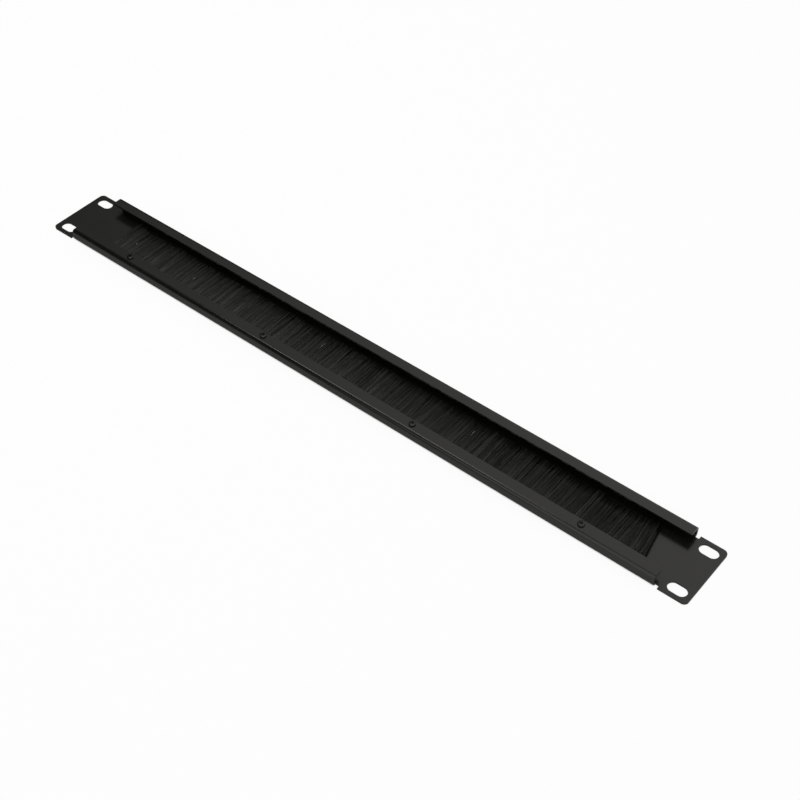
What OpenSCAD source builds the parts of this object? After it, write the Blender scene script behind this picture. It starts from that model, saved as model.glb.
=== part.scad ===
// Rack brush strip panel, one rack unit high.
// It lies on its front face: X runs across the rack, Y up the rack and Z towards the rack's rear.
// The origin is the middle of the front face. The lip at -Y carries the brush strip.

/* [Panel] */
// Width across both ears
panel_w = 482.6; // [440:0.2:600]
// Height of the panel, over both folded edges
panel_h = 44; // [43:0.5:60]
// Thickness of the sheet that the panel is folded from
sheet_t = 1.2; // [1:0.1:1.5]
// Length of each ear, from the panel's end to the folded edges
ear_l = 19.6; // [17:0.1:24]
// Corner radius of the ears
ear_corner_r = 3; // [1:0.5:6]

/* [Folds] */
// Height of the folded edges, from the front face to the top of the lips
fold_h = 8; // [7.4:0.2:10]
// Inside radius of the bends
bend_r = 1; // [0.5:0.1:1.6]
// Width of the lip that carries the brush strip, from the folded edge
brush_lip_w = 8.5; // [7.5:0.1:10]
// Width of the plain lip on the other side
plain_lip_w = 7.5; // [4:0.1:8]
// Radius of the free corners of the lip that carries the brush strip
lip_corner_r = 2.5; // [0.5:0.5:4]
// Width of the relief notches between the folds and the ears
notch_w = 2.3; // [1.5:0.1:2.5]

/* [Rack slots] */
// Distance from the panel's end to the middle of a slot
slot_inset = 8.75; // [8:0.05:10]
// Distance between the slots up the rack
slot_pitch_y = 31.75; // [28:0.05:33]
// Width of a slot
slot_w = 7; // [6:0.1:8]
// Length of a slot, end to end
slot_l = 11.5; // [8:0.1:13]

/* [Cable opening] */
// Distance from the end of the folded edges to the opening that the bristles close
opening_margin = 31.7; // [26:0.1:60]
// Height of the opening
opening_h = 20; // [16:0.5:22]
// Corner radius of the opening
opening_corner_r = 2; // [0.5:0.5:5]

/* [Brush strip] */
// How far the strip runs past the left end of the opening
strip_past_left = 5; // [2:0.5:12]
// How far the strip runs past the right end of the opening
strip_past_right = 19.5; // [2:0.5:24]
// Depth of the strip's folded channel, from its back to its mouth
channel_d = 5.8; // [5.2:0.1:6.2]
// Thickness of the channel's metal
channel_t = 0.8; // [0.5:0.1:1]
// Inside radius of the channel's bends
channel_bend_r = 0.6; // [0.3:0.1:0.8]
// How far each jaw closes on the filaments at the mouth
jaw_pinch = 0.4; // [0.2:0.1:0.6]
// Gap between the channel and the plate below it
floor_gap = 0.6; // [0.3:0.1:1]
// Diameter of the wire that the filaments are folded over
wire_d = 1.2; // [0.8:0.1:1.4]
// Thickness of the filaments between the wire and the channel's back
filament_layer = 1; // [0.6:0.1:1.4]
// Clearance between the channel, the filaments, the wire and the screw threads
fit = 0.05; // [0.03:0.01:0.08]

/* [Bristles] */
// Width of strip that one bundle of filaments takes up
bundle_pitch = 3.7; // [3.5:0.1:8]
// How far the curtain swells on each face, once it is out of the channel's mouth
curtain_swell = 0.25; // [0:0.05:0.4]
// How far past the channel's mouth the curtain is fullest
full_past = 5; // [3:0.5:8]
// How far each face of the curtain draws in again on its way to the tips
tip_taper = 0.4; // [0:0.05:0.6]
// How far the shortest bundles reach past the opening's far edge
tip_past = 1.5; // [1:0.1:3]
// How much longer than that a bundle may be
tip_ragged = 1; // [0:0.1:2]
// How much longer the bundles at the two ends of the strip are
end_growth = 2.6; // [0:0.1:3]
// Length of strip over which the end bundles grow longer
end_run = 28; // [24:1:40]
// How far the last tips on the right lean back along the strip
end_lean = 5; // [0:0.5:6]

/* [Screws] */
// Number of screws that hold the strip
screw_count = 4; // [2:1:6]
// Distance from the end of the folded edges to the first and the last screw
screw_margin = 49.2; // [40:0.1:80]
// Diameter of the screw thread
screw_d = 2; // [1.6:0.1:2.5]
// Diameter of the screw's pan head
screw_head_d = 4.2; // [3.8:0.1:5]
// Height of the screw's pan head
screw_head_h = 1.2; // [1:0.1:2]
// How far the screw's tip comes past the channel's wall
screw_past = 0.5; // [0.3:0.1:0.6]
// Clearance round the screw in the lip
screw_hole_gap = 0.2; // [0.1:0.05:0.4]
// Length of each arm of the cross recess, tip to tip
recess_l = 2.4; // [1.8:0.1:2.8]
// Width of each arm of the cross recess
recess_w = 0.6; // [0.4:0.1:0.8]
// Depth of the cross recess
recess_depth = 0.7; // [0.5:0.1:1]

/* [Hidden] */
$fn = 48;
cut = 1; // how far a cutter runs past the face it cuts

// Folded sheet
fold_r = bend_r + sheet_t;
fold_w = panel_w - 2 * ear_l;
opening_w = fold_w - 2 * opening_margin;
slot_pitch_x = panel_w - 2 * slot_inset;
lip_z = fold_h - sheet_t;
brush_lip_edge = brush_lip_w - panel_h / 2;
plain_lip_edge = panel_h / 2 - plain_lip_w;

// Channel under the middle of the lip's flat part
strip_y = (fold_r - panel_h / 2 + brush_lip_edge) / 2;
strip_l = opening_w + strip_past_left + strip_past_right;
strip_x = (strip_past_right - strip_past_left) / 2;
channel_h = lip_z - sheet_t - floor_gap;
mouth_y = strip_y + channel_d / 2;
strip_z = lip_z - channel_h / 2;
bore_d = channel_d - 2 * channel_t; // inside the channel
bore_h = channel_h - 2 * channel_t;
mouth_h = bore_h - 2 * jaw_pinch;
wire_y = strip_y - channel_d / 2 + channel_t + filament_layer + wire_d / 2;

// Curtain of bundles
root_y = strip_y; // inside the folded filaments
root_t = mouth_h - 2 * fit;
curtain_t = root_t + 2 * curtain_swell;
tip_t = curtain_t - 2 * tip_taper;
full_y = mouth_y + full_past;
tip_y = opening_h / 2 + tip_past;
longest_y = tip_y + tip_ragged + end_growth;
end_inset = 0.3; // keeps the curtain's ends inside the folded filaments
first_x = strip_x - strip_l / 2 + end_inset;
bundle_count = round((strip_l - 2 * end_inset) / bundle_pitch);
bundle_w = (strip_l - 2 * end_inset) / bundle_count;
// Columns of one bundle: the gap before it, a shoulder, the dip in its middle, a shoulder
station = [0, 0.15, 0.5, 0.85];
fullness = [0.6, 1, 0.8, 1];
columns = len(station) * bundle_count;
gap_shift = rands(-0.2, 0.2, bundle_count + 1, 5); // share of a bundle's width
gap_depth = rands(0.2, 0.6, bundle_count + 1, 11); // share of the free length
bundle_reach = rands(0, 1, bundle_count + 1, 23); // share of the ragged length
bundle_sway = rands(-0.06, 0.06, bundle_count + 1, 37); // share of a bundle's width

// Screws
screw_pitch = (fold_w - 2 * screw_margin) / (screw_count - 1);
screw_x = [for (i = [0:screw_count - 1]) (i - (screw_count - 1) / 2) * screw_pitch];
screw_l = sheet_t + channel_t + screw_past;
dome_r = screw_head_d * 1.2; // radius of the pan head's top

// A rectangle with round corners, centred on the origin
module rounded_rect(w, h, r) {
    square([w - 2 * r, h], center = true);
    square([w, h - 2 * r], center = true);
    for (x = [-1, 1], y = [-1, 1])
        translate([x * (w / 2 - r), y * (h / 2 - r)])
            circle(r);
}

// Section of a sheet folded into a C: w wide, h high, wall t, inside bend radius r
module folded_tube(w, h, t, r) {
    difference() {
        rounded_rect(w, h, r + t);
        rounded_rect(w - 2 * t, h - 2 * t, r);
    }
}

// Carries a section drawn in (Y, Z) along X over the length l, centred on x
module along_x(l, x = 0) {
    translate([x - l / 2, 0, 0])
        rotate([90, 0, 90])
            linear_extrude(l)
                children();
}

// Section through the folded edges and the plate between them
module fold_section() {
    difference() {
        translate([0, fold_h / 2])
            folded_tube(panel_h, fold_h, sheet_t, bend_r);
        translate([brush_lip_edge, lip_z - cut])
            square([plain_lip_edge - brush_lip_edge, sheet_t + 2 * cut]);
    }
}

// Flat of the plate: between the relief notches the folds take over from its long edges
module plate_outline() {
    difference() {
        rounded_rect(panel_w, panel_h, ear_corner_r);
        for (side = [-1, 1])
            translate([0, side * panel_h / 2])
                square([fold_w + 2 * notch_w, 2 * fold_r], center = true);
    }
}

// Half-round at both ends
module rack_slot() {
    square([slot_l - slot_w, slot_w], center = true);
    for (end = [-1, 1])
        translate([end * (slot_l - slot_w) / 2, 0])
            circle(d = slot_w);
}

// What is left of a square corner outside a quarter circle
module corner_waste(r) {
    difference() {
        square(r + cut);
        circle(r);
    }
}

module panel() {
    color("#2e2d2b")
        difference() {
            union() {
                linear_extrude(sheet_t)
                    plate_outline();
                along_x(fold_w)
                    fold_section();
            }
            translate([0, 0, -cut])
                linear_extrude(sheet_t + 2 * cut) {
                    rounded_rect(opening_w, opening_h, opening_corner_r);
                    for (x = [-1, 1], y = [-1, 1])
                        translate([x * slot_pitch_x / 2, y * slot_pitch_y / 2])
                            rack_slot();
                }
            for (side = [0, 1])
                mirror([side, 0, 0])
                    translate([fold_w / 2 - lip_corner_r, brush_lip_edge - lip_corner_r, lip_z - cut])
                        linear_extrude(sheet_t + 2 * cut)
                            corner_waste(lip_corner_r);
            for (x = screw_x)
                translate([x, strip_y, lip_z - cut])
                    cylinder(h = sheet_t + 2 * cut, d = screw_d + 2 * screw_hole_gap);
        }
}

module strip_channel() {
    color("#8f9294")
        difference() {
            along_x(strip_l, strip_x)
                translate([strip_y, strip_z])
                    difference() {
                        folded_tube(channel_d, channel_h, channel_t, channel_bend_r);
                        translate([0, -mouth_h / 2])
                            square([channel_d, mouth_h]);
                    }
            for (x = screw_x)
                translate([x, strip_y, lip_z - channel_t - cut / 4])
                    cylinder(h = channel_t + cut, d = screw_d + 2 * fit);
        }
}

module core_wire() {
    color("#a3a5a6")
        along_x(strip_l, strip_x)
            translate([wire_y, strip_z])
                circle(d = wire_d);
}

// Rises from 0 to 1 over the last part of the strip, at each end or on the right alone
function near_end(x) = max(0, abs(x - strip_x) - (strip_l / 2 - end_run)) / end_run;
function near_right(x) = x > strip_x ? near_end(x) : 0;

function is_end(column) = column == 0 || column == columns;
function gap_x(bundle) =
    first_x + bundle_w * (bundle + (bundle == 0 || bundle >= bundle_count ? 0 : gap_shift[bundle]));
function column_x(column) =
    let (bundle = floor(column / 4))
    gap_x(bundle) + station[column % 4] * (gap_x(bundle + 1) - gap_x(bundle));
function column_t(column) = curtain_t * (is_end(column) ? 1 : fullness[column % 4]);

// Where a column ends: at a tip, or at the bottom of a gap between two bundles
function column_end(column) =
    let (
        bundle = floor(column / 4),
        x = column_x(column),
        tip = tip_y + tip_ragged * bundle_reach[bundle] + end_growth * near_end(x) ^ 2,
        is_gap = column % 4 == 0 && !is_end(column),
        reach = is_gap ? tip - gap_depth[bundle] * (tip - full_y) : tip,
        sway = is_end(column) ? 0 : bundle_sway[bundle] * bundle_w,
        lean = sway - end_lean * near_right(x) ^ 2
    )
    [x + lean * (reach - root_y) / (tip - root_y), reach];

// Ragged outline of the curtain, in X and Y
module comb_outline() {
    polygon(concat(
        [[column_x(0), root_y]],
        [for (c = [0:columns]) column_end(c)],
        [[column_x(columns), root_y]]
    ));
}

// Ridges and dips across the bundles, in X and Z
module ridge_outline() {
    polygon(concat(
        [for (c = [0:columns]) [column_x(c), column_t(c) / 2]],
        [for (c = [columns:-1:0]) [column_x(c), -column_t(c) / 2]]
    ));
}

// Swell of the curtain past the mouth and its taper to the tips, in Y and Z
module side_outline() {
    half = [
        [root_y, root_t / 2],
        [mouth_y, root_t / 2],
        [full_y, curtain_t / 2],
        [longest_y + cut, tip_t / 2]
    ];
    polygon(concat(half, [for (i = [len(half) - 1:-1:0]) [half[i].x, -half[i].y]]));
}

// The curtain is what its three outlines have in common
module curtain() {
    translate([0, 0, strip_z])
        intersection() {
            linear_extrude(2 * curtain_t, center = true)
                comb_outline();
            translate([0, longest_y + cut, 0])
                rotate([90, 0, 0])
                    linear_extrude(longest_y - root_y + 2 * cut)
                        ridge_outline();
            along_x(strip_l, strip_x)
                side_outline();
        }
}

// The filaments folded round the wire fill the channel
module filament_fold() {
    along_x(strip_l, strip_x)
        translate([strip_y, strip_z])
            rounded_rect(bore_d - 2 * fit, bore_h - 2 * fit, channel_bend_r - fit);
}

module bristles() {
    color("#1d1c1b")
        difference() {
            union() {
                filament_fold();
                curtain();
            }
            along_x(strip_l + 2 * cut, strip_x)
                translate([wire_y, strip_z])
                    circle(d = wire_d + 2 * fit);
            for (x = screw_x)
                translate([x, strip_y, fold_h - screw_l - fit])
                    cylinder(h = screw_l, d = screw_d + 2 * screw_hole_gap);
        }
}

module lip_screw() {
    difference() {
        union() {
            rotate_extrude()
                intersection() {
                    square([screw_head_d / 2, screw_head_h]);
                    translate([0, screw_head_h - dome_r])
                        circle(dome_r);
                }
            translate([0, 0, -screw_l])
                cylinder(h = screw_l + screw_head_h / 2, d = screw_d);
        }
        for (turn = [0, 90])
            rotate([0, 0, turn])
                translate([-recess_l / 2, -recess_w / 2, screw_head_h - recess_depth])
                    cube([recess_l, recess_w, recess_depth + cut]);
    }
}

module lip_screws() {
    color("#232323")
        for (x = screw_x)
            translate([x, strip_y, fold_h])
                lip_screw();
}

panel();
strip_channel();
core_wire();
bristles();
lip_screws();
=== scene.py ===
"""Rack brush strip panel, lying on its front face: finishes, filaments, screws and stage.

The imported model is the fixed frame. Its folded panel, channel and wire stay and get their finishes.
The bristles and the screws are replaced with surfaces that are worked out here with numpy.
"""
from math import cos, pi, radians, sin

import bpy
import numpy as np
from bpy.props import FloatProperty, FloatVectorProperty, IntProperty, PointerProperty
from bpy.types import Operator, Panel, PropertyGroup
from mathutils import Matrix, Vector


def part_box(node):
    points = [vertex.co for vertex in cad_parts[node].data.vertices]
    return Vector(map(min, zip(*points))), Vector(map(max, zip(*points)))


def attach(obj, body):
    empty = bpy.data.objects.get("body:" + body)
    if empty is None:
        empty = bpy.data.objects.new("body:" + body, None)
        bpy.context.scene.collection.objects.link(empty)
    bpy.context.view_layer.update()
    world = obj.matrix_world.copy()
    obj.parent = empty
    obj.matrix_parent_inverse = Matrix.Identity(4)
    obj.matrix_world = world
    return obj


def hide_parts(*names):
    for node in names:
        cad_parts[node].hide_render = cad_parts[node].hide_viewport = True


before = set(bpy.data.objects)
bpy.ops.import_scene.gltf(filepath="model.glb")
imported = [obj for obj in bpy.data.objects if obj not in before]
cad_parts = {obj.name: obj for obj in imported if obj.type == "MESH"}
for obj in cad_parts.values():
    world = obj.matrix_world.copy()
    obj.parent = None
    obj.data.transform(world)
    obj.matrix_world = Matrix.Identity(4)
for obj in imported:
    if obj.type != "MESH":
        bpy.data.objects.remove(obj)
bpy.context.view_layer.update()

bl_info = {
    "name": "Rack Brush Strip Panel",
    "version": (1, 0, 0),
    "blender": (4, 5, 0),
    "location": "3D View > Sidebar > Brush Panel",
    "description": "Dresses the packed brush strip panel with its finishes, filaments and screws",
    "category": "Object",
}

MM = 0.001

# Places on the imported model, in metres
PANEL_LOW, PANEL_HIGH = (np.array(corner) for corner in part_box("panel"))
STRIP_LOW, STRIP_HIGH = (np.array(corner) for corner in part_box("strip_channel"))
WIRE_LOW, WIRE_HIGH = (np.array(corner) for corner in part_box("core_wire"))
CURTAIN_LOW, CURTAIN_HIGH = (np.array(corner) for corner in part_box("bristles"))
SCREWS_LOW, SCREWS_HIGH = (np.array(corner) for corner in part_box("lip_screws"))

STRIP_Z = (STRIP_LOW[2] + STRIP_HIGH[2]) / 2
MOUTH_Y = STRIP_HIGH[1]
WIRE_Y = (WIRE_LOW[1] + WIRE_HIGH[1]) / 2
WIRE_R = (WIRE_HIGH[1] - WIRE_LOW[1]) / 2


# ---------------------------------------------------------------- settings

class PanelSettings(PropertyGroup):
    coat_colour: FloatVectorProperty(
        name="Coat colour", description="Black of the powder coat",
        subtype="COLOR", size=3, min=0, max=1, default=(0.0050, 0.0049, 0.0044))
    coat_roughness: FloatProperty(
        name="Coat roughness", description="How far the powder coat scatters a reflection",
        min=0, max=1, default=0.22)
    coat_grain: FloatProperty(
        name="Coat grain", description="Distance between the bumps of the powder coat's fine texture",
        subtype="DISTANCE", unit="LENGTH", min=0.0001, max=0.003, default=0.0006)
    edge_radius: FloatProperty(
        name="Edge radius", description="Rounding that the coat gives the cut edges of the sheet",
        subtype="DISTANCE", unit="LENGTH", min=0, max=0.00058, default=0.00057)


class StripSettings(PropertyGroup):
    zinc_colour: FloatVectorProperty(
        name="Zinc colour", description="Grey of the galvanised channel",
        subtype="COLOR", size=3, min=0, max=1, default=(0.40, 0.41, 0.42))
    wire_colour: FloatVectorProperty(
        name="Wire colour", description="Grey of the drawn wire",
        subtype="COLOR", size=3, min=0, max=1, default=(0.46, 0.45, 0.44))


class BristleSettings(PropertyGroup):
    filament_colour: FloatVectorProperty(
        name="Filament colour", description="Black of the nylon filaments",
        subtype="COLOR", size=3, min=0, max=1, default=(0.0080, 0.0079, 0.0071))
    filament_d: FloatProperty(
        name="Filament diameter", description="Diameter of one filament",
        subtype="DISTANCE", unit="LENGTH", min=0.0001, max=0.0006, default=0.00028)
    filament_count: IntProperty(
        name="Folded filaments", description="Filaments folded over the wire, each with two free ends",
        min=100, max=9000, default=6600)
    clump_width: FloatProperty(
        name="Clump width", description="Usual width of the clumps that the filaments gather in",
        subtype="DISTANCE", unit="LENGTH", min=0.001, max=0.01, default=0.0034)
    wisp_width: FloatProperty(
        name="Wisp width", description="Usual width of the wisps within a clump",
        subtype="DISTANCE", unit="LENGTH", min=0.0003, max=0.004, default=0.0009)
    strand_width: FloatProperty(
        name="Strand width", description="Usual width of the strands that stray over the others",
        subtype="DISTANCE", unit="LENGTH", min=0.0002, max=0.002, default=0.00045)
    end_lean: FloatProperty(
        name="End lean", description="How far the last tips on the right lean back along the strip",
        subtype="DISTANCE", unit="LENGTH", min=0, max=0.01, default=0.005)
    seed: IntProperty(name="Seed", description="Start of the random draws", min=0, default=7)


class ScrewSettings(PropertyGroup):
    screw_count: IntProperty(name="Screws", description="Screws in the lip", min=1, max=8, default=4)
    head_d: FloatProperty(
        name="Head diameter", description="Diameter of the pan head",
        subtype="DISTANCE", unit="LENGTH", min=0.002, max=0.008, default=0.0042)
    thread_d: FloatProperty(
        name="Thread diameter", description="Diameter of the thread",
        subtype="DISTANCE", unit="LENGTH", min=0.001, max=0.004, default=0.002)
    pitch: FloatProperty(
        name="Thread pitch", description="Distance between neighbouring turns of the thread",
        subtype="DISTANCE", unit="LENGTH", min=0.0002, max=0.001, default=0.0004)
    first_turn: FloatProperty(
        name="First screw's turn", description="How far the first screw's cross is turned, in degrees", default=4)
    turn_step: FloatProperty(
        name="Turn step", description="How much further each next screw is turned, in degrees", default=23)
    steel_colour: FloatVectorProperty(
        name="Screw colour", description="Black oxide on the screws",
        subtype="COLOR", size=3, min=0, max=1, default=(0.030, 0.030, 0.029))


class StageSettings(PropertyGroup):
    azimuth: FloatProperty(
        name="Camera azimuth", description="Turn of the camera round the panel",
        subtype="ANGLE", unit="ROTATION", default=radians(41.5))
    elevation: FloatProperty(
        name="Camera elevation", description="Height of the camera above the floor, as an angle",
        subtype="ANGLE", unit="ROTATION", default=radians(44.7))
    distance: FloatProperty(
        name="Camera distance", description="Distance from the camera to the middle of the panel",
        subtype="DISTANCE", unit="LENGTH", min=0.1, default=0.85)
    aim_x: FloatProperty(
        name="Aim along the panel", description="Point of the floor that the camera looks at, along X",
        subtype="DISTANCE", unit="LENGTH", default=0.0352)
    aim_y: FloatProperty(
        name="Aim across the panel", description="Point of the floor that the camera looks at, along Y",
        subtype="DISTANCE", unit="LENGTH", default=-0.0002)
    roll: FloatProperty(
        name="Camera roll", description="Turn of the camera about its own axis",
        subtype="ANGLE", unit="ROTATION", default=radians(-0.3))
    lens: FloatProperty(
        name="Lens", description="Focal length on a 36 mm wide sensor, in millimetres",
        min=10, max=300, default=64.38)
    softbox_level: FloatProperty(
        name="Softbox level", description="Brightness of the overhead softbox, where 1 is white",
        min=0, max=10, default=5.5)


SETTINGS = {
    "brush_panel_sheet": PanelSettings,
    "brush_panel_strip": StripSettings,
    "brush_panel_bristles": BristleSettings,
    "brush_panel_screws": ScrewSettings,
    "brush_panel_stage": StageSettings,
}


# ---------------------------------------------------------------- meshes

def quad_mesh(name, points, quads, values=None):
    """Makes an object from an (n, 3) array of points in metres and an (m, 4) array of corner numbers.

    values, if given, is one number for each point, kept as the point attribute "shade".
    """
    mesh = bpy.data.meshes.new(name)
    mesh.vertices.add(len(points))
    mesh.vertices.foreach_set("co", np.ascontiguousarray(points, np.float32).ravel())
    mesh.loops.add(quads.size)
    mesh.loops.foreach_set("vertex_index", np.ascontiguousarray(quads, np.int32).ravel())
    mesh.polygons.add(len(quads))
    mesh.polygons.foreach_set("loop_start", np.arange(0, quads.size, 4, dtype=np.int32))
    mesh.polygons.foreach_set("use_smooth", np.ones(len(quads), bool))
    if values is not None:
        mesh.attributes.new("shade", "FLOAT", "POINT").data.foreach_set("value", values.astype(np.float32))
    mesh.update(calc_edges=True)
    if mesh.validate():
        raise RuntimeError(f"{name}: the mesh had faults")
    obj = bpy.data.objects.new(name, mesh)
    bpy.context.scene.collection.objects.link(obj)
    return obj


def tube_surface(paths, radius, sides):
    """Surface of many tubes at once, from paths of shape (tubes, stations, 3).

    At each station the tangent t is the difference of the neighbouring points, a is the X axis less its
    part along t, and b is t x a. A point of the skin is centre + radius * (cos(angle) a + sin(angle) b).
    Both ends are closed by one face each, so sides is 4. Returns points and quads.
    """
    tubes, stations, _ = paths.shape
    tangent = np.gradient(paths, axis=1)
    tangent /= np.linalg.norm(tangent, axis=2, keepdims=True)
    side = np.array([1.0, 0, 0]) - tangent * tangent[..., :1]
    side /= np.linalg.norm(side, axis=2, keepdims=True)
    over = np.cross(tangent, side)
    angle = np.arange(sides) * 2 * pi / sides
    skin = (paths[:, :, None] + radius * (side[:, :, None] * np.cos(angle)[:, None]
                                          + over[:, :, None] * np.sin(angle)[:, None]))
    number = np.arange(tubes * stations * sides).reshape(tubes, stations, sides)
    ahead = np.roll(number, -1, axis=2)
    walls = np.stack([number[:, :-1], ahead[:, :-1], ahead[:, 1:], number[:, 1:]], axis=-1).reshape(-1, 4)
    caps = np.concatenate([number[:, 0, ::-1], number[:, -1]])
    return skin.reshape(-1, 3), np.concatenate([walls, caps])


def square_disc(lines):
    """Disc of radius 1 from a square grid: x = u sqrt(1 - v^2 / 2) and y = v sqrt(1 - u^2 / 2).

    lines are the places of the grid's lines, from -1 to 1. Returns u, v, x and y of each point as one row
    each, the quads, and the numbers of the rim's points, once round counterclockwise.
    """
    u, v = np.meshgrid(lines, lines, indexing="ij")
    x, y = u * np.sqrt(1 - v ** 2 / 2), v * np.sqrt(1 - u ** 2 / 2)
    number = np.arange(u.size).reshape(u.shape)
    quads = np.stack([number[:-1, :-1], number[1:, :-1], number[1:, 1:], number[:-1, 1:]], axis=-1)
    rim = np.concatenate([number[:-1, 0], number[-1, :-1], number[:0:-1, -1], number[0, :0:-1]])
    return np.stack([u.ravel(), v.ravel(), x.ravel(), y.ravel()]), quads.reshape(-1, 4), rim


def joined_loops(loops):
    """Quads between loops of as many points each, from top to bottom, that face away from the axis."""
    loops = np.stack(loops)
    ahead = np.roll(loops, -1, axis=1)
    return np.stack([loops[:-1], loops[1:], ahead[1:], ahead[:-1]], axis=-1).reshape(-1, 4)


def pan_head_screw(head_d, head_h, thread_d, pitch, length):
    """Points and quads of a screw along Z whose head sits on z = 0.

    With rho the distance from the axis over the head's radius, the head's top is a side of one third of
    its height and a crown of sqrt(1 - rho^7) times the rest. The cross recess is taken off it: its two
    arms are ramps in the grid's own u and v. The thread's radius is a triangle wave of the turn about
    the axis plus z over the pitch, and it fades in under the head and out at the tip.
    """
    radius, side = head_d / 2, head_h / 3
    half = np.array([0.0, 0.05, 0.10, 0.15, 0.24, 0.36, 0.50, 0.57, 0.66, 0.76, 0.85, 0.92, 0.97, 1.0])
    (u, v, x, y), cap, rim = square_disc(np.concatenate([-half[:0:-1], half]))
    rho = np.hypot(x, y)
    top = side + (head_h - side) * np.sqrt(np.clip(1 - rho ** 7, 0, 1))

    def ramp(place, floor, mouth):
        """1 up to the recess's floor, falling to 0 at its mouth."""
        return np.clip((mouth - np.abs(place)) / (mouth - floor), 0, 1)

    arms = np.maximum(ramp(u, 0.10, 0.15) * ramp(v, 0.50, 0.57), ramp(v, 0.10, 0.15) * ramp(u, 0.50, 0.57))
    head = np.column_stack([x * radius, y * radius, top - 0.6 * head_h * arms])

    turn = np.arctan2(y[rim], x[rim])[None, :]
    z = np.linspace(0, pitch - length, int(8 * (length / pitch - 1)))[:, None]
    wave = (turn / (2 * pi) + z / pitch) % 1
    depth = 0.15 * thread_d * np.clip(np.minimum(-z, z + length) / (pitch / 2), 0, 1)
    shank = thread_d / 2 - depth * np.abs(2 * wave - 1)
    rings = [(radius, 0.15 * side), (0.96 * radius, 0)] + list(zip(shank, z))
    walls = np.stack([
        np.column_stack([r * np.cos(turn[0]), r * np.sin(turn[0]), np.broadcast_to(height, rim.shape)])
        for r, height in rings])
    tip = np.column_stack([x * thread_d * 0.3, y * thread_d * 0.3, np.full(len(x), -length)])

    first, last = len(head), len(head) + walls.shape[0] * walls.shape[1]
    loops = [rim, *(first + np.arange(walls.shape[0] * len(rim)).reshape(-1, len(rim))), last + rim]
    points = np.concatenate([head, walls.reshape(-1, 3), tip])
    return points, np.concatenate([cap, joined_loops(loops), last + cap[:, ::-1]])


# ---------------------------------------------------------------- materials

class Nodes:
    """A new material with its node tree, and short ways to add and join nodes."""

    def __init__(self, name):
        self.material = bpy.data.materials.new(name)
        self.material.use_nodes = True
        self.tree = self.material.node_tree
        self.shader = self.tree.nodes["Principled BSDF"]
        coordinates = self.tree.nodes.new("ShaderNodeTexCoord")
        self.place = coordinates.outputs["Object"]

    def add(self, kind, values=(), **options):
        """A node of that kind, with its options set and its input sockets given values or links."""
        node = self.tree.nodes.new("ShaderNode" + kind)
        for option, value in options.items():
            setattr(node, option, value)
        for socket, value in dict(values).items():
            self.feed(node.inputs[socket], value)
        return node

    def feed(self, socket, value):
        """Joins a socket to another node's output, or sets its value."""
        if isinstance(value, bpy.types.NodeSocket):
            self.tree.links.new(value, socket)
        else:
            socket.default_value = value

    def noise(self, size, detail=2.0, roughness=0.5, place=None):
        """Noise whose blobs are about size metres across."""
        node = self.add("TexNoise", {
            "Vector": place or self.place, "Scale": 1 / size, "Detail": detail, "Roughness": roughness})
        return node.outputs["Fac"]

    def spread(self, value, low, high, to_low, to_high):
        """Carries value from the range low to high over to the range to_low to to_high, clamped."""
        node = self.add("MapRange", {
            "Value": value, "From Min": low, "From Max": high, "To Min": to_low, "To Max": to_high})
        return node.outputs["Result"]

    def blend(self, share, first, second):
        """Colour that goes from first to second as share goes from 0 to 1."""
        node = self.add("Mix", data_type="RGBA")
        for socket, value in zip((node.inputs[0], node.inputs[6], node.inputs[7]), (share, first, second)):
            self.feed(socket, value)
        return node.outputs[2]

    def bump(self, height, distance, strength=1.0, below=None):
        """Normal bent by a height from 0 to 1 that stands for distance metres."""
        values = {"Height": height, "Distance": distance, "Strength": strength}
        if below is not None:
            values["Normal"] = below
        return self.add("Bump", values).outputs["Normal"]

    def finish(self, **values):
        """Sets the shader's sockets, with underscores for the spaces in their names."""
        for name, value in values.items():
            self.feed(self.shader.inputs[name.replace("_", " ")], value)
        return self.material


def rgba(colour, factor=1.0):
    """A colour times a factor, with alpha 1."""
    return tuple(min(1.0, part * factor) for part in colour) + (1.0,)


def powder_coat(settings):
    """Black powder coat: fine pebbled texture over long soft waves, a little uneven in gloss."""
    nodes = Nodes("powder_coat_black")
    grain = nodes.noise(settings.coat_grain, 3.0, 0.6)
    waves = nodes.noise(0.006, 2.0)
    patches = nodes.noise(0.035, 3.0)
    texture = nodes.bump(grain, 0.00002, 0.3, nodes.bump(waves, 0.00004, 0.2))
    return nodes.finish(
        Base_Color=nodes.blend(
            nodes.spread(patches, 0.35, 0.65, 0, 1),
            rgba(settings.coat_colour, 0.85), rgba(settings.coat_colour, 1.15)),
        Roughness=nodes.spread(
            patches, 0.3, 0.7, settings.coat_roughness - 0.03, settings.coat_roughness + 0.03),
        IOR=1.45,
        Specular_Tint=(1.0, 0.99, 0.94, 1.0),
        Normal=texture)


def galvanised_steel(settings):
    """Zinc-coated strip: soft spangle patches and a faint drawing grain along X."""
    nodes = Nodes("galvanised_strip")
    stretch = nodes.add("Mapping", {"Vector": nodes.place, "Scale": (0.05, 1, 1)}).outputs["Vector"]
    grain = nodes.noise(0.0004, 2.0, place=stretch)
    spangle = nodes.noise(0.004, 3.0)
    return nodes.finish(
        Base_Color=nodes.blend(
            nodes.spread(spangle, 0.35, 0.65, 0, 1),
            rgba(settings.zinc_colour, 0.85), rgba(settings.zinc_colour, 1.1)),
        Metallic=1.0,
        Roughness=nodes.spread(spangle, 0.3, 0.7, 0.34, 0.46),
        Normal=nodes.bump(grain, 0.00002, 0.5))


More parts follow.
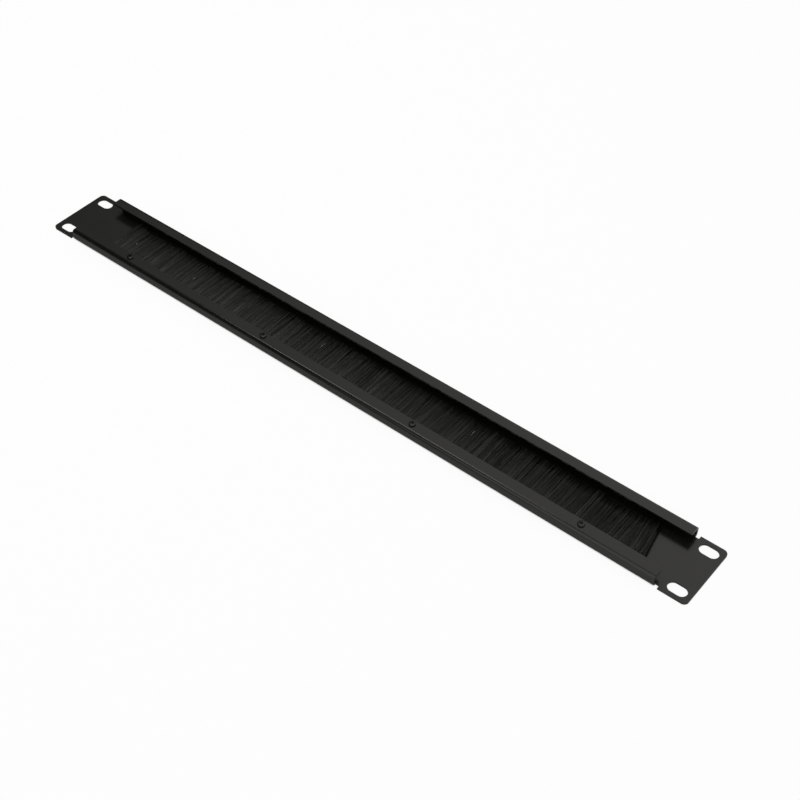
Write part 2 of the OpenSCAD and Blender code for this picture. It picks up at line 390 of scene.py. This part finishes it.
def drawn_wire(settings):
    """Drawn steel wire: fine scratches along its length."""
    nodes = Nodes("drawn_wire")
    stretch = nodes.add("Mapping", {"Vector": nodes.place, "Scale": (0.04, 1, 1)}).outputs["Vector"]
    scratches = nodes.noise(0.0002, 2.0, place=stretch)
    return nodes.finish(
        Base_Color=nodes.blend(scratches, rgba(settings.wire_colour, 0.8), rgba(settings.wire_colour, 1.1)),
        Metallic=1.0,
        Roughness=0.35,
        Normal=nodes.bump(scratches, 0.00001, 0.5))


def nylon_filament(settings):
    """Black nylon: colour and roughness follow each filament's shade, which is a random tone with painted light and
    shade over it; rougher where lighter, with a faint unevenness.
    """
    nodes = Nodes("bristle_nylon_black")
    shade = nodes.add("Attribute", attribute_name="shade").outputs["Fac"]
    return nodes.finish(
        Base_Color=nodes.blend(
            shade, rgba(settings.filament_colour, 0.2), rgba(settings.filament_colour, 6.0)),
        Roughness=nodes.spread(shade, 0.0, 0.4, 0.34, 0.72),
        Specular_Tint=(0.98, 1.0, 0.92, 1.0),
        IOR=1.325,
        Normal=nodes.bump(nodes.noise(0.0007, 2.0), 0.00002, 0.3))


def black_oxide(settings):
    """Black oxide on steel: dark and satin, worn a little brighter in small flecks."""
    nodes = Nodes("screw_black_oxide")
    flecks = nodes.noise(0.0003, 3.0, 0.6)
    return nodes.finish(
        Base_Color=nodes.blend(
            nodes.spread(flecks, 0.45, 0.7, 0, 1),
            rgba(settings.steel_colour), rgba(settings.steel_colour, 2.2)),
        Metallic=1.0,
        Roughness=nodes.spread(flecks, 0.4, 0.7, 0.24, 0.36),
        Normal=nodes.bump(flecks, 0.00001, 0.4))


def paint(obj, material):
    """Puts one material in every slot of the object."""
    if not obj.data.materials:
        obj.data.materials.append(material)
    for slot in obj.material_slots:
        slot.material = material


# ---------------------------------------------------------------- operators

class OBJECT_OT_brush_panel_sheet(Operator):
    """Gives the folded panel its powder coat, which rounds the cut edges a little"""
    bl_idname = "object.brush_panel_sheet"
    bl_label = "Folded Panel"

    def execute(self, context):
        settings = context.scene.brush_panel_sheet
        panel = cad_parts["panel"]
        paint(panel, powder_coat(settings))
        weld = panel.modifiers.new("join_faces", "WELD")
        weld.merge_threshold = 1e-6
        rounding = panel.modifiers.new("coat_rounding", "BEVEL")
        rounding.width = settings.edge_radius
        rounding.segments = 3
        rounding.limit_method = "ANGLE"
        rounding.angle_limit = radians(40)
        rounding.harden_normals = False
        return {"FINISHED"}


class OBJECT_OT_brush_panel_strip(Operator):
    """Gives the strip's channel and its wire their bare steel"""
    bl_idname = "object.brush_panel_strip"
    bl_label = "Strip Channel and Wire"

    def execute(self, context):
        settings = context.scene.brush_panel_strip
        paint(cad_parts["strip_channel"], galvanised_steel(settings))
        paint(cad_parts["core_wire"], drawn_wire(settings))
        return {"FINISHED"}


class OBJECT_OT_brush_panel_bristles(Operator):
    """Makes the filaments, folded over the wire and gathered in ragged wisps"""
    bl_idname = "object.brush_panel_bristles"
    bl_label = "Bristles"

    def wisps(self, x, width, spread, random):
        """Which wisp each filament at x belongs to, where its middle is, and each wisp's own draws."""
        left, right = STRIP_LOW[0], STRIP_HIGH[0]
        widths = width * random.uniform(0.5, 1.6, int(3 * (right - left) / width))
        edges = left + np.concatenate([[0], np.cumsum(widths)])
        edges = np.append(edges[edges < right - width / 2], right)
        number = np.clip(np.searchsorted(edges, x, "right") - 1, 0, len(edges) - 2)
        draws = {name: random.normal(0, size, len(edges) - 1)[number] for name, size in spread.items()}
        return (edges[number] + edges[number + 1]) / 2, draws

    def leg(self, x, offset, side, settings, random):
        """Paths and shades of the free ends on one side of the fold, from the mouth to the tips.

        With s from 0 at the mouth to 1 at the tip, y runs straight to the tip. x leans in proportion to s,
        by the lean of its clump, its wisp and its own, and is drawn to the wisp's middle as s to the power 0.7.
        The height over the strip's middle swells by 1 + 0.15 s, and rises or sinks with its wisp in proportion to s.
        """
        count = len(x)
        s = np.array([0.0, 0.33, 0.67, 1.0])[None, :]
        upper = side > 0
        spread = 1.0 if upper else 0.08
        _, clump = self.wisps(x, settings.clump_width, {
            "lean": spread * 0.40 * MM, "lift": 0.12 * MM, "reach": 0.50 * MM, "shade": 0.04}, random)
        middle, wisp = self.wisps(x, settings.wisp_width, {
            "lean": spread * 0.35 * MM, "lift": 0.22 * MM, "reach": 0.35 * MM, "shade": 0.16}, random)
        strand_middle, strand = self.wisps(x, settings.strand_width, {
            "pick": 1.0, "lean": 0.7 * MM, "shade": 0.12}, random)
        stray = upper & (strand["pick"] > 0.85) & (offset > 0.7 * MM)
        from_right = STRIP_HIGH[0] - x
        from_left = x - STRIP_LOW[0]
        at_right = np.clip(1 - from_right / (28 * MM), 0, 1)
        at_end = np.clip(1 - np.minimum(from_left, from_right) / (28 * MM), 0, 1)
        # outermost: the last filaments at the right end, which sink and get painted shade below.
        outermost = np.clip((2.2 * MM - from_right) / (1.2 * MM), 0, 1)
        # bundle: raised filaments near the right end, which also get a painted highlight below.
        bundle = np.exp(-((from_right - 8.5 * MM) / (1.2 * MM)) ** 2)
        # Painted shade: the filaments' tone falls from 1.1 on the left to 0.4 from 170 mm on, darker towards the
        # right end.
        painted_side_shade = 1.1 - 0.7 * np.clip((x - 20 * MM) / (150 * MM), 0, 1)
        tip = ((9.6 if upper else 10.9) * MM + clump["reach"] + wisp["reach"]
               + random.normal(0, 0.25 * MM, count) + stray * 0.6 * MM + 2.3 * MM * at_end ** 2)
        lean = (clump["lean"] + wisp["lean"] + random.normal(0, (0.22 if upper else 0.06) * MM, count)
                + stray * strand["lean"] - settings.end_lean * at_right ** 2)
        lean = np.where(x < STRIP_LOW[0] + 2 * MM, np.abs(lean), lean)
        gather = np.where(random.uniform(0, 1, count) < 0.75, 0.7 if upper else 0.0, 0.0) * (middle - x)
        gather = np.where(stray, 0.6 * (strand_middle - x), gather)
        wave = random.normal(0, spread ** 2 * 0.10 * MM, count)
        across = (x[:, None] + lean[:, None] * s + gather[:, None] * s ** 0.7
                  + wave[:, None] * np.sin(2 * pi * s))
        along = MOUTH_Y + (tip - MOUTH_Y)[:, None] * s
        swell = 1 + 0.15 * s
        lift = clump["lift"] + wisp["lift"] + random.normal(0, 0.06 * MM, count)
        lift += stray * random.uniform(0.3 * MM, 0.7 * MM, count) - outermost * 1.0 * MM
        lift += bundle * 0.5 * MM
        lift += 0.2 * MM if upper else 0.0
        height = side * offset[:, None] * swell + lift[:, None] * s
        height = STRIP_Z + np.clip(height, -1.75 * MM, 1.75 * MM)
        # The shade is a random tone of each clump, wisp and strand with painted light over it: painted shade at the
        # mouth, rising to painted light at the tips against the shade of the far lip.
        tone = (0.36 + clump["shade"]) * painted_side_shade + 0.25 * bundle
        streak = wisp["shade"] + strand["shade"] + random.normal(0, 0.08, count)
        # Painted highlight: stray strands and the raised bundle are painted lighter towards their tips.
        painted_glint = stray * random.uniform(0.35, 0.75, count) + 0.2 * bundle
        shade = (tone[:, None] * (0.1 + 1.2 * s ** 1.5) + streak[:, None] * (0.2 + 0.9 * s) * painted_side_shade[:, None]
                 + painted_glint[:, None] * s ** 1.3)
        # Painted shade: the last filaments at the right end go black, and the lower legs, under the upper ones, keep
        # a tenth of their shade.
        shade *= ((1 - outermost) * (1.0 if upper else 0.1))[:, None]
        return np.stack([across, along, height], axis=2), np.clip(shade, 0, 1)

    def filaments(self, settings, random):
        """Paths and shades of all the filaments, from one tip over the wire to the other tip.

        In the channel a filament is a half circle about the wire, whose radius is its layer.
        """
        count = settings.filament_count
        margin = settings.filament_d
        share = (np.arange(count) + random.uniform(0, 1, count)) / count
        x = STRIP_LOW[0] + margin + share * (STRIP_HIGH[0] - STRIP_LOW[0] - 2 * margin)
        layer = random.uniform(0, 1, count)
        offset = (0.14 + 1.05 * layer) * MM
        radius = WIRE_R + settings.filament_d / 2 + 0.03 * MM + layer * 0.66 * MM
        turn = radians(90) + np.array([0.0, 0.5, 1.0]) * pi
        bend = np.stack([
            np.repeat(x[:, None], len(turn), 1),
            WIRE_Y + radius[:, None] * np.cos(turn),
            STRIP_Z + radius[:, None] * np.sin(turn)], axis=2)
        upper, upper_shade = self.leg(x, offset, 1, settings, random)
        lower, lower_shade = self.leg(x, offset, -1, settings, random)
        paths = np.concatenate([upper[:, ::-1], bend, lower], axis=1)
        shades = np.concatenate([upper_shade, upper_shade[:, :len(turn)], lower_shade], axis=1)
        return paths, shades

    def execute(self, context):
        settings = context.scene.brush_panel_bristles
        random = np.random.default_rng(settings.seed)
        nylon = nylon_filament(settings)
        sides, pieces = 4, 4
        paths, shades = self.filaments(settings, random)
        for number, members in enumerate(np.array_split(np.arange(len(paths)), pieces), 1):
            points, quads = tube_surface(paths[members], settings.filament_d / 2, sides)
            piece = quad_mesh(f"filaments_{number}", points, quads, np.repeat(shades[members].ravel(), sides))
            paint(piece, nylon)
            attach(piece, "root")
            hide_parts("bristles")
        return {"FINISHED"}


class OBJECT_OT_brush_panel_screws(Operator):
    """Makes the pan head screws with their cross recesses"""
    bl_idname = "object.brush_panel_screws"
    bl_label = "Lip Screws"

    def execute(self, context):
        settings = context.scene.brush_panel_screws
        seat = PANEL_HIGH[2]
        points, quads = pan_head_screw(
            settings.head_d, SCREWS_HIGH[2] - seat, settings.thread_d, settings.pitch, seat - SCREWS_LOW[2])
        count = settings.screw_count
        ends = SCREWS_LOW[0] + settings.head_d / 2, SCREWS_HIGH[0] - settings.head_d / 2
        turns = np.radians(settings.first_turn + settings.turn_step * np.arange(count))[:, None]
        x, y, z = points.T
        screws = np.stack([
            np.linspace(*ends, count)[:, None] + x * np.cos(turns) - y * np.sin(turns),
            (SCREWS_LOW[1] + SCREWS_HIGH[1]) / 2 + x * np.sin(turns) + y * np.cos(turns),
            np.broadcast_to(seat + z, (count, len(z)))], axis=2)
        numbers = quads[None] + np.arange(count)[:, None, None] * len(points)
        piece = quad_mesh("pan_head_screws", screws.reshape(-1, 3), numbers.reshape(-1, 4))
        piece.data.set_sharp_from_angle(angle=radians(38))
        paint(piece, black_oxide(settings))
        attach(piece, "root")
        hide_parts("lip_screws")
        return {"FINISHED"}


class OBJECT_OT_brush_panel_stage(Operator):
    """Sets the pale floor, the soft light and the camera"""
    bl_idname = "object.brush_panel_stage"
    bl_label = "Floor, Light and Camera"

    # Soft glows of the studio: middle, cosine of the angle from it where the glow starts, cosine where it
    # is full, and brightness. Everything else has the dark level.
    GLOWS = (
        ((0.20, 0.60, 0.77), 0.45, 1.02, 1.45),
        ((0.60, -0.75, 0.25), 0.38, 0.62, 1.6),
    )
    DARK_LEVEL = 0.02

    def floor(self):
        """White floor, seen as white by the camera, that keeps a soft shadow. In reflections it glows at painted
        levels that change with place, which paints the reflections on the panel's sides.
        """
        half = 4.0
        points = np.array([[-half, -half, 0], [half, -half, 0], [half, half, 0], [-half, half, 0]])
        points[:, 2] = PANEL_LOW[2] - 0.05 * MM
        floor = quad_mesh("floor", points, np.array([[0, 1, 2, 3]]))
        nodes = Nodes("pale_floor")
        nodes.finish(Base_Color=(0.82, 0.82, 0.82, 1), Roughness=0.9)
        rays = nodes.add("LightPath").outputs
        seen = nodes.add("Math", {0: rays["Is Camera Ray"], 1: rays["Is Glossy Ray"]}, operation="MAXIMUM")
        seen = nodes.add("Math", {0: seen.outputs[0], 1: rays["Is Transmission Ray"]}, operation="MAXIMUM")
        open_floor = nodes.add("AmbientOcclusion", {"Distance": 0.005}, samples=8).outputs["AO"]
        share = nodes.add("Math", {
            0: seen.outputs[0], 1: nodes.spread(open_floor, 0.10, 0.35, 0, 0.92)}, operation="MULTIPLY")
        place = nodes.add("SeparateXYZ", {"Vector": nodes.place}).outputs
        # Painted reflection: glossy rays see the floor at 0.30 to 0.50 close beside the panel, and at 0.05 on the
        # left to 1.1 on the right further out.
        beside = nodes.add("Math", {0: place["Y"]}, operation="ABSOLUTE").outputs[0]
        near = nodes.spread(beside, PANEL_HIGH[1] + 3 * MM, PANEL_HIGH[1] + 26 * MM, 1, 0)
        far_sheen = nodes.spread(place["X"], 70 * MM, 210 * MM, 0.05, 1.1)
        near_sheen = nodes.spread(place["X"], PANEL_LOW[0], PANEL_HIGH[0], 0.30, 0.50)
        sheen = nodes.add("Mix", {0: near, 2: far_sheen, 3: near_sheen}, data_type="FLOAT").outputs[0]
        level = nodes.add("Mix", {0: rays["Is Glossy Ray"], 2: 1.0, 3: sheen}, data_type="FLOAT").outputs[0]
        white = nodes.add("Emission", {"Color": (1, 1, 1, 1), "Strength": level})
        mix = nodes.add("MixShader", {
            0: share.outputs[0], 1: nodes.shader.outputs[0], 2: white.outputs[0]})
        output = nodes.tree.nodes["Material Output"]
        nodes.feed(output.inputs["Surface"], mix.outputs[0])
        paint(floor, nodes.material)

    def world(self):
        """White to the camera; to the object a dark studio with a few soft glows."""
        world = bpy.data.worlds.new("studio")
        bpy.context.scene.world = world
        world.use_nodes = True
        tree = world.node_tree
        tree.nodes.clear()
        new, join = tree.nodes.new, tree.links.new
        direction = new("ShaderNodeTexCoord").outputs["Generated"]

        level = None
        for toward, start, full, brightness in self.GLOWS:
            along = new("ShaderNodeVectorMath")
            along.operation = "DOT_PRODUCT"
            join(direction, along.inputs[0])
            along.inputs[1].default_value = np.array(toward) / np.linalg.norm(toward)
            glow = new("ShaderNodeMapRange")
            glow.interpolation_type = "SMOOTHSTEP"
            glow.inputs["From Min"].default_value = start
            glow.inputs["From Max"].default_value = full
            glow.inputs["To Max"].default_value = brightness
            join(along.outputs["Value"], glow.inputs["Value"])
            total = new("ShaderNodeMath")
            join(glow.outputs["Result"], total.inputs[0])
            if level is None:
                total.inputs[1].default_value = self.DARK_LEVEL
            else:
                join(level, total.inputs[1])
            level = total.outputs[0]
        studio = new("ShaderNodeBackground")
        join(level, studio.inputs["Strength"])
        white = new("ShaderNodeBackground")
        rays = new("ShaderNodeLightPath").outputs
        seen = new("ShaderNodeMath")
        seen.operation = "MAXIMUM"
        join(rays["Is Camera Ray"], seen.inputs[0])
        join(rays["Is Transmission Ray"], seen.inputs[1])
        mix = new("ShaderNodeMixShader")
        join(seen.outputs[0], mix.inputs[0])
        join(studio.outputs[0], mix.inputs[1])
        join(white.outputs[0], mix.inputs[2])
        join(mix.outputs[0], new("ShaderNodeOutputWorld").inputs["Surface"])

    def softbox(self, name, level, place, size, aim=(0, 0, 0)):
        """Area lamp whose surface has that brightness: its power is level times pi times its area."""
        lamp = bpy.data.lights.new(name, "AREA")
        lamp.shape = "RECTANGLE"
        lamp.size, lamp.size_y = size
        lamp.energy = level * pi * size[0] * size[1]
        obj = bpy.data.objects.new(name, lamp)
        bpy.context.scene.collection.objects.link(obj)
        place, aim = np.array(place, float), np.array(aim, float)
        obj.matrix_world = Matrix.Translation(place) @ self.facing(place - aim).to_4x4()
        obj.visible_camera = False

    def facing(self, back, roll=0.0):
        """Turn whose own Z axis points along back and whose X axis is level, then rolled about Z."""
        back = back / np.linalg.norm(back)
        right = np.cross([0, 0, 1.0], back)
        if np.linalg.norm(right) < 1e-6:
            right = np.array([1.0, 0, 0])
        right /= np.linalg.norm(right)
        up = np.cross(back, right)
        level = Matrix(np.column_stack([right, up, back]).tolist())
        return level @ Matrix.Rotation(roll, 3, "Z")

    def camera(self, settings):
        """Camera at its azimuth and elevation round the origin, aimed at a point of the floor."""
        azimuth, elevation = settings.azimuth, settings.elevation
        place = settings.distance * np.array([
            sin(azimuth) * cos(elevation), -cos(azimuth) * cos(elevation), sin(elevation)])
        camera = bpy.data.cameras.new("camera")
        camera.sensor_width = 36
        camera.lens = settings.lens
        obj = bpy.data.objects.new("camera", camera)
        bpy.context.scene.collection.objects.link(obj)
        aim = np.array([settings.aim_x, settings.aim_y, 0])
        obj.matrix_world = (
            Matrix.Translation(place) @ self.facing(place - aim, -settings.roll).to_4x4())
        bpy.context.scene.camera = obj

    def execute(self, context):
        settings = context.scene.brush_panel_stage
        context.scene.view_settings.view_transform = "Standard"
        self.floor()
        self.world()
        self.softbox("softbox_overhead", settings.softbox_level, (-0.425, 0.0, 1.10), (0.22, 0.80))
        self.camera(settings)
        return {"FINISHED"}


class VIEW3D_PT_brush_panel(Panel):
    """Lists the steps and their settings"""
    bl_label = "Brush Panel"
    bl_space_type = "VIEW_3D"
    bl_region_type = "UI"
    bl_category = "Brush Panel"

    def draw(self, context):
        for step, (name, group) in zip(STEPS, SETTINGS.items()):
            box = self.layout.box()
            box.operator(step.bl_idname)
            settings = getattr(context.scene, name)
            for field in group.__annotations__:
                box.prop(settings, field)


STEPS = (
    OBJECT_OT_brush_panel_sheet,
    OBJECT_OT_brush_panel_strip,
    OBJECT_OT_brush_panel_bristles,
    OBJECT_OT_brush_panel_screws,
    OBJECT_OT_brush_panel_stage,
)
CLASSES = tuple(SETTINGS.values()) + STEPS + (VIEW3D_PT_brush_panel,)


def register():
    for cls in CLASSES:
        bpy.utils.register_class(cls)
    for name, group in SETTINGS.items():
        setattr(bpy.types.Scene, name, PointerProperty(type=group))


def unregister():
    for name in SETTINGS:
        delattr(bpy.types.Scene, name)
    for cls in reversed(CLASSES):
        bpy.utils.unregister_class(cls)


def main():
    """Runs every step."""
    register()
    bpy.ops.object.brush_panel_sheet()
    bpy.ops.object.brush_panel_strip()
    bpy.ops.object.brush_panel_bristles()
    bpy.ops.object.brush_panel_screws()
    bpy.ops.object.brush_panel_stage()


if __name__ == "__main__":
    main()
